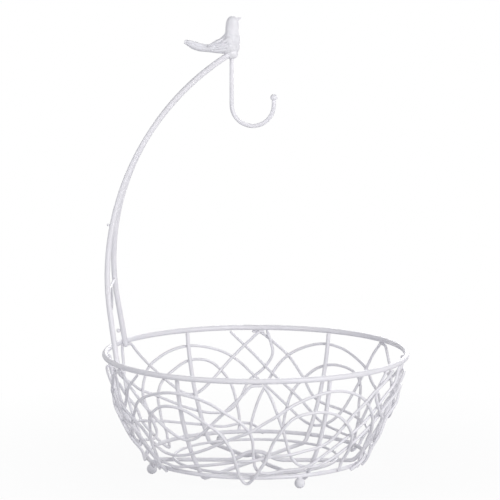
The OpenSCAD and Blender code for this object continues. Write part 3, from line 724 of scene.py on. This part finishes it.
# %% Bird sections
BIRD_ROWS = [
    ((-42.3, 17.4), (-42.9, 14.2), 3.2), ((-39, 17.5), (-39, 11.6), 4.4), ((-33.5, 16.4), (-34.8, 9), 5),
    ((-28, 14.8), (-29, 7.2), 5.4), ((-22.5, 13.6), (-21.8, 6.6), 6.2), ((-17.5, 14.4), (-15, 5.8), 7.8),
    ((-12.5, 17.2), (-8.5, 5.2), 9.2), ((-9, 20.4), (-2.6, 4.8), 9.8), ((-6.7, 22.8), (3, 6.6), 9.4),
    ((-5.7, 25), (6.2, 12.4), 8.4), ((-5.6, 27.2), (7.8, 18), 7.4), ((-5.5, 29.2), (7.2, 22.4), 6.2),
    ((-5.3, 31.4), (6.4, 26), 5.7), ((-4.8, 34), (6.5, 30.6), 5.7), ((-3.6, 36.8), (6.6, 33.2), 5.4),
    ((-1.2, 38.8), (6.5, 34.7), 4.6), ((2.2, 38.9), (6.4, 35.3), 3.2), ((5, 37.9), (6.7, 35.6), 1.9),
    ((7.3, 37.9), (7.8, 36.2), 1.1), ((9.2, 37.8), (9.3, 37.2), 0.4),
]

def section(back, belly, half_width):
    """The place of a unit circle as one section of the bird."""
    back, belly = Vector((back[0], 0, back[1])), Vector((belly[0], 0, belly[1]))
    up = (back - belly) / 2
    out = up.normalized().cross(Vector((0, 1, 0)))
    place = Matrix((up, Vector((0, half_width, 0)), out)).transposed().to_4x4()
    place.translation = (back + belly) / 2
    return place

ROW_PARTS = 3

def bird_rows():
    """The rows with smooth ones between them: back, belly and half width."""
    rows = [(Vector(a), Vector(b), c) for a, b, c in BIRD_ROWS]
    padded = [rows[0]] + rows + [rows[-1]]
    out = []
    for i in range(len(rows) - 1):
        backs, bellies, widths = zip(*padded[i:i + 4])
        for t in [k / ROW_PARTS for k in range(ROW_PARTS)]:
            out.append((through(*backs, t), through(*bellies, t), through(*widths, t)))
    return out + [rows[-1]]

def bird_skin(bm):
    places = [section(*row) for row in bird_rows()]
    made = bmesh.ops.create_circle(bm, segments=32, radius=1.0)
    bmesh.ops.transform(bm, matrix=places[0], verts=made["verts"])
    edges = list({e for v in made["verts"] for e in v.link_edges})
    bmesh.ops.contextual_create(bm, geom=edges)
    for before, after in zip(places, places[1:]):
        new = bmesh.ops.extrude_edge_only(bm, edges=edges)["geom"]
        verts = [g for g in new if isinstance(g, bmesh.types.BMVert)]
        edges = [g for g in new if isinstance(g, bmesh.types.BMEdge)]
        bmesh.ops.transform(bm, matrix=after @ before.inverted(), verts=verts)
    bmesh.ops.contextual_create(bm, geom=edges)

print("bird rows", len(bird_rows()))

# %% [markdown]
# Body, wings, eyes and the ball below are separate closed forms at first. A voxel remesh fuses them into
# one skin and a little smoothing rounds the seams, as the mould and the coating do. Feather lines and the
# crease of the neck are pressed in last, where the skin is fine enough to hold them.

# %% Bird casting
BLOB_STEPS = 10

def blob(bm, root, tip, root_r, tip_r):
    """A long rounded form between two points, with a radius for each."""
    root, tip = Vector(root), Vector(tip)
    for k in range(BLOB_STEPS + 1):
        t = k / BLOB_STEPS
        made = bmesh.ops.create_icosphere(bm, subdivisions=2, radius=root_r + (tip_r - root_r) * t)
        bmesh.ops.translate(bm, verts=made["verts"], vec=root.lerp(tip, t))

WING_FEATHERS = [
    ((-1.5, 5.4, 17), (-13, 6, 14.6), 5, 3), ((-7, 6, 16.4), (-20.5, 5.4, 12.2), 3.8, 1.3),
    ((-6.5, 6.2, 13.4), (-19.5, 5.4, 10), 3.4, 1.2), ((-5.5, 6, 11), (-17, 5.6, 8.2), 3, 1.1),
]
BIRD_SEAT = ((0, 0, SOCKET_R + 0.6), (1.2, 0, SOCKET_R + 6), 4.8, 6.6)
FEATHER_LINES = [
    ((-5.6, 20.4), (-12.4, 15), 1.9), ((-12.4, 15), (-20, 12.2), 1.9), ((-5, 15.6), (-14.5, 12.4), 1.4),
    ((-3, 13), (-15, 10), 1.4), ((-5, 10.2), (-17, 8), 1.4), ((-20, 12.2), (-29, 13.2), 2.1),
    ((-29, 13.2), (-41, 16), 2.1),
]

LINE_WIDTH, BARE_MIDDLE = 0.85, 1.5
NECK_CREASE = ((-1.5, 22.4), (6.5, 22.6))
CREASE_DEPTH, CREASE_WIDTH = 0.35, 0.7

def distance_to_line(p, a, b):
    a, b = Vector(a), Vector(b)
    s = b - a
    t = min(1.0, max(0.0, (p - a).dot(s) / s.length_squared))
    return (p - a - s * t).length

def press_lines(bm):
    bm.normal_update()
    for v in bm.verts:
        side = Vector((v.co.x, v.co.z))
        depth = 0.0
        if abs(v.co.y) > BARE_MIDDLE:
            for a, b, deep in FEATHER_LINES:
                depth = max(depth, deep * math.exp(-(distance_to_line(side, a, b) / LINE_WIDTH) ** 2))
        crease = distance_to_line(side, *NECK_CREASE)
        depth = max(depth, CREASE_DEPTH * math.exp(-(crease / CREASE_WIDTH) ** 2))
        v.co -= v.normal * depth

VOXEL, SOFTEN_ROUNDS = 0.4, 3
EYE_R, EYE_PLACE = 0.95, (0.6, 4.95, 33.2)

def remeshed(mesh):
    holder = bpy.data.objects.new("casting", mesh)
    scene.collection.objects.link(holder)
    fuse = holder.modifiers.new("fuse", "REMESH")
    fuse.mode = "VOXEL"
    fuse.voxel_size = VOXEL
    soften = holder.modifiers.new("soften", "SMOOTH")
    soften.factor = 0.5
    soften.iterations = SOFTEN_ROUNDS
    graph = bpy.context.evaluated_depsgraph_get()
    result = bpy.data.meshes.new_from_object(holder.evaluated_get(graph))
    bpy.data.objects.remove(holder)
    return result

def make_bird():
    bm = bmesh.new()
    bird_skin(bm)
    for root, tip, root_r, tip_r in WING_FEATHERS:
        for side in (1, -1):
            blob(bm, (root[0], root[1] * side, root[2]), (tip[0], tip[1] * side, tip[2]), root_r, tip_r)
    for side in (1, -1):
        eye = bmesh.ops.create_icosphere(bm, subdivisions=2, radius=EYE_R)
        bmesh.ops.translate(bm, verts=eye["verts"], vec=(EYE_PLACE[0], EYE_PLACE[1] * side, EYE_PLACE[2]))
    ball = bmesh.ops.create_icosphere(bm, subdivisions=4, radius=SOCKET_R)
    bmesh.ops.translate(bm, verts=ball["verts"], vec=(0, 0, SOCKET_R))
    blob(bm, *BIRD_SEAT)
    bmesh.ops.recalc_face_normals(bm, faces=bm.faces)
    rough = bpy.data.meshes.new("bird_parts")
    bm.to_mesh(rough)
    bm.free()
    mesh = remeshed(rough)
    bm = bmesh.new()
    bm.from_mesh(mesh)
    press_lines(bm)
    place = TO_ARM @ Matrix.Translation((SOCKET_X, 0, SOCKET_Z - SOCKET_R)) @ Matrix.Rotation(math.pi, 4, "Z")
    bmesh.ops.transform(bm, matrix=Matrix.Scale(MM, 4) @ place, verts=bm.verts)
    bm.to_mesh(mesh)
    bm.free()
    mesh.name = "bird_casting"
    as_piece("bird_casting", mesh, CAST_COAT, ["bird"])
    print("bird faces", len(mesh.polygons))

make_bird()

# %% [markdown]
# A thin wire joins the two rods and a small leaf hangs on it. Two berries sit on the rods. The leaf is a
# grid that is pulled in to two points, curled a little and given a middle rib. A Solidify modifier could
# thicken it, but the bmesh operator of that name does it while the grid is still open, in the same step.

# %% Leaf, brace and berries
BRACE_WIRE, BRACE_HEIGHT = 2.4, 63.0
BRACE_Z = RIM_Z + BRACE_HEIGHT * math.cos(ARM_TILT)
LEAF_LENGTH, LEAF_WIDTH, LEAF_THICK, LEAF_TURN = 24.0, 10.0, 0.88, 15.0
LEAF_BOW, LEAF_CURL, LEAF_RIB, LEAF_DROP = 0.25, 0.35, 0.32, 0.6
LEAF_POINT, LEAF_SKEW, LEAF_EDGE, RIB_SHARPNESS = 0.8, 0.12, 0.9, 5
BERRY_SINK = 0.15

def make_leaf():
    bm = bmesh.new()
    bmesh.ops.create_grid(bm, x_segments=12, y_segments=28, size=0.5)
    for v in bm.verts:
        along, across = v.co.y * 2, v.co.x * 2
        width = LEAF_WIDTH / 2 * (1 - along ** 2) ** LEAF_POINT * (1 + LEAF_SKEW * along)
        bow = LEAF_BOW * math.cos(along * math.pi / 2)
        rib = LEAF_RIB * math.exp(-(across * RIB_SHARPNESS) ** 2)
        out = bow + rib - LEAF_CURL * across ** 2
        v.co = Vector((out, across * width, along * (LEAF_LENGTH / 2 - LEAF_EDGE)))
    bmesh.ops.remove_doubles(bm, verts=bm.verts, dist=0.01)
    bmesh.ops.recalc_face_normals(bm, faces=bm.faces)
    bmesh.ops.solidify(bm, geom=bm.faces[:], thickness=LEAF_THICK)
    bmesh.ops.recalc_face_normals(bm, faces=bm.faces)
    down = Matrix.Translation((rod_x(BRACE_HEIGHT), 0, BRACE_Z - LEAF_LENGTH / 2 - LEAF_DROP))
    place = TO_ARM @ down @ Matrix.Rotation(math.radians(LEAF_TURN), 4, "Z")
    bmesh.ops.transform(bm, matrix=Matrix.Scale(MM, 4) @ place, verts=bm.verts)
    mesh = bpy.data.meshes.new("hanging_leaf")
    bm.to_mesh(mesh)
    bm.free()
    as_piece("hanging_leaf", mesh, CAST_COAT, ["leaf"])
    print("leaf faces", len(mesh.polygons))

def make_brace():
    half = ARM_SPREAD - BRACE_HEIGHT * math.sin(ARM_TILT) - ARM_WIRE / 2
    across = (-half, -half / 2, 0, half / 2, half)
    points = [TO_ARM @ Vector((rod_x(BRACE_HEIGHT), y, BRACE_Z)) for y in across]
    wire_piece("brace_wire", points, BRACE_WIRE, 12, "brace")

def make_berry(name, side, height, diameter, node):
    out = rod_x(height) + ARM_WIRE / 2 + diameter / 2 + WELD_GAP - BERRY_SINK
    middle = rod_plane(side) @ Vector((out, 0, height))
    bm = bmesh.new()
    bmesh.ops.create_icosphere(bm, subdivisions=3, radius=diameter / 2 * MM)
    bmesh.ops.translate(bm, verts=bm.verts, vec=middle * MM)
    mesh = bpy.data.meshes.new(name)
    bm.to_mesh(mesh)
    bm.free()
    as_piece(name, mesh, CAST_COAT, [node])

make_leaf()
make_brace()
make_berry("large_berry", 1, 12.0, 3.8, "berry_large")
make_berry("small_berry", -1, 123.0, 2.6, "berry_small")

# %% [markdown]
# The bowl stands on four small balls welded under the base ring. A ball alone would look stuck on, so
# each gets a short waist of weld where it meets the ring.

# %% Feet
FOOT_ANGLES = (-69, 24, 102, 200)
BALL_TURN, BALL_STEP, FOOT_SIDES = 150, 10, 36
WAIST_R, WELD_R = 2.2, 2.5
WAIST_DROP, WELD_RISE, CAP_RISE = 0.1, 0.5, 0.6

def make_foot(number, angle):
    bm = bmesh.new()
    r = FOOT_D / 2
    turns = [math.radians(a) for a in range(0, BALL_TURN + 1, BALL_STEP)]
    outline = [Vector((r * math.sin(t), 0, r - r * math.cos(t))) for t in turns]
    outline += [Vector((WAIST_R, 0, FOOT_D - WAIST_DROP)), Vector((WELD_R, 0, FOOT_D + WELD_RISE))]
    outline.append(Vector((0, 0, FOOT_D + CAP_RISE)))
    verts = [bm.verts.new(p) for p in outline]
    for a, b in zip(verts, verts[1:]):
        bm.edges.new((a, b))
    bmesh.ops.spin(bm, geom=bm.verts[:] + bm.edges[:], cent=(0, 0, 0), axis=(0, 0, 1), angle=2 * math.pi,
                   steps=FOOT_SIDES, use_merge=True)
    bmesh.ops.remove_doubles(bm, verts=bm.verts, dist=0.001)
    bmesh.ops.recalc_face_normals(bm, faces=bm.faces)
    a = math.radians(angle)
    place = Matrix.Translation((BASE_R * math.sin(a), -BASE_R * math.cos(a), 0.0))
    bmesh.ops.transform(bm, matrix=Matrix.Scale(MM, 4) @ place, verts=bm.verts)
    mesh = bpy.data.meshes.new("foot_ball_%d" % number)
    bm.to_mesh(mesh)
    bm.free()
    as_piece("foot_ball_%d" % number, mesh, CAST_COAT, ["foot_%d" % number])

for number, angle in enumerate(FOOT_ANGLES, 1):
    make_foot(number, angle)
print("feet", len(FOOT_ANGLES))

# %% [markdown]
# The Standard view transform keeps the whites as they are.

# %% Finish
scene.view_settings.view_transform = "Standard"
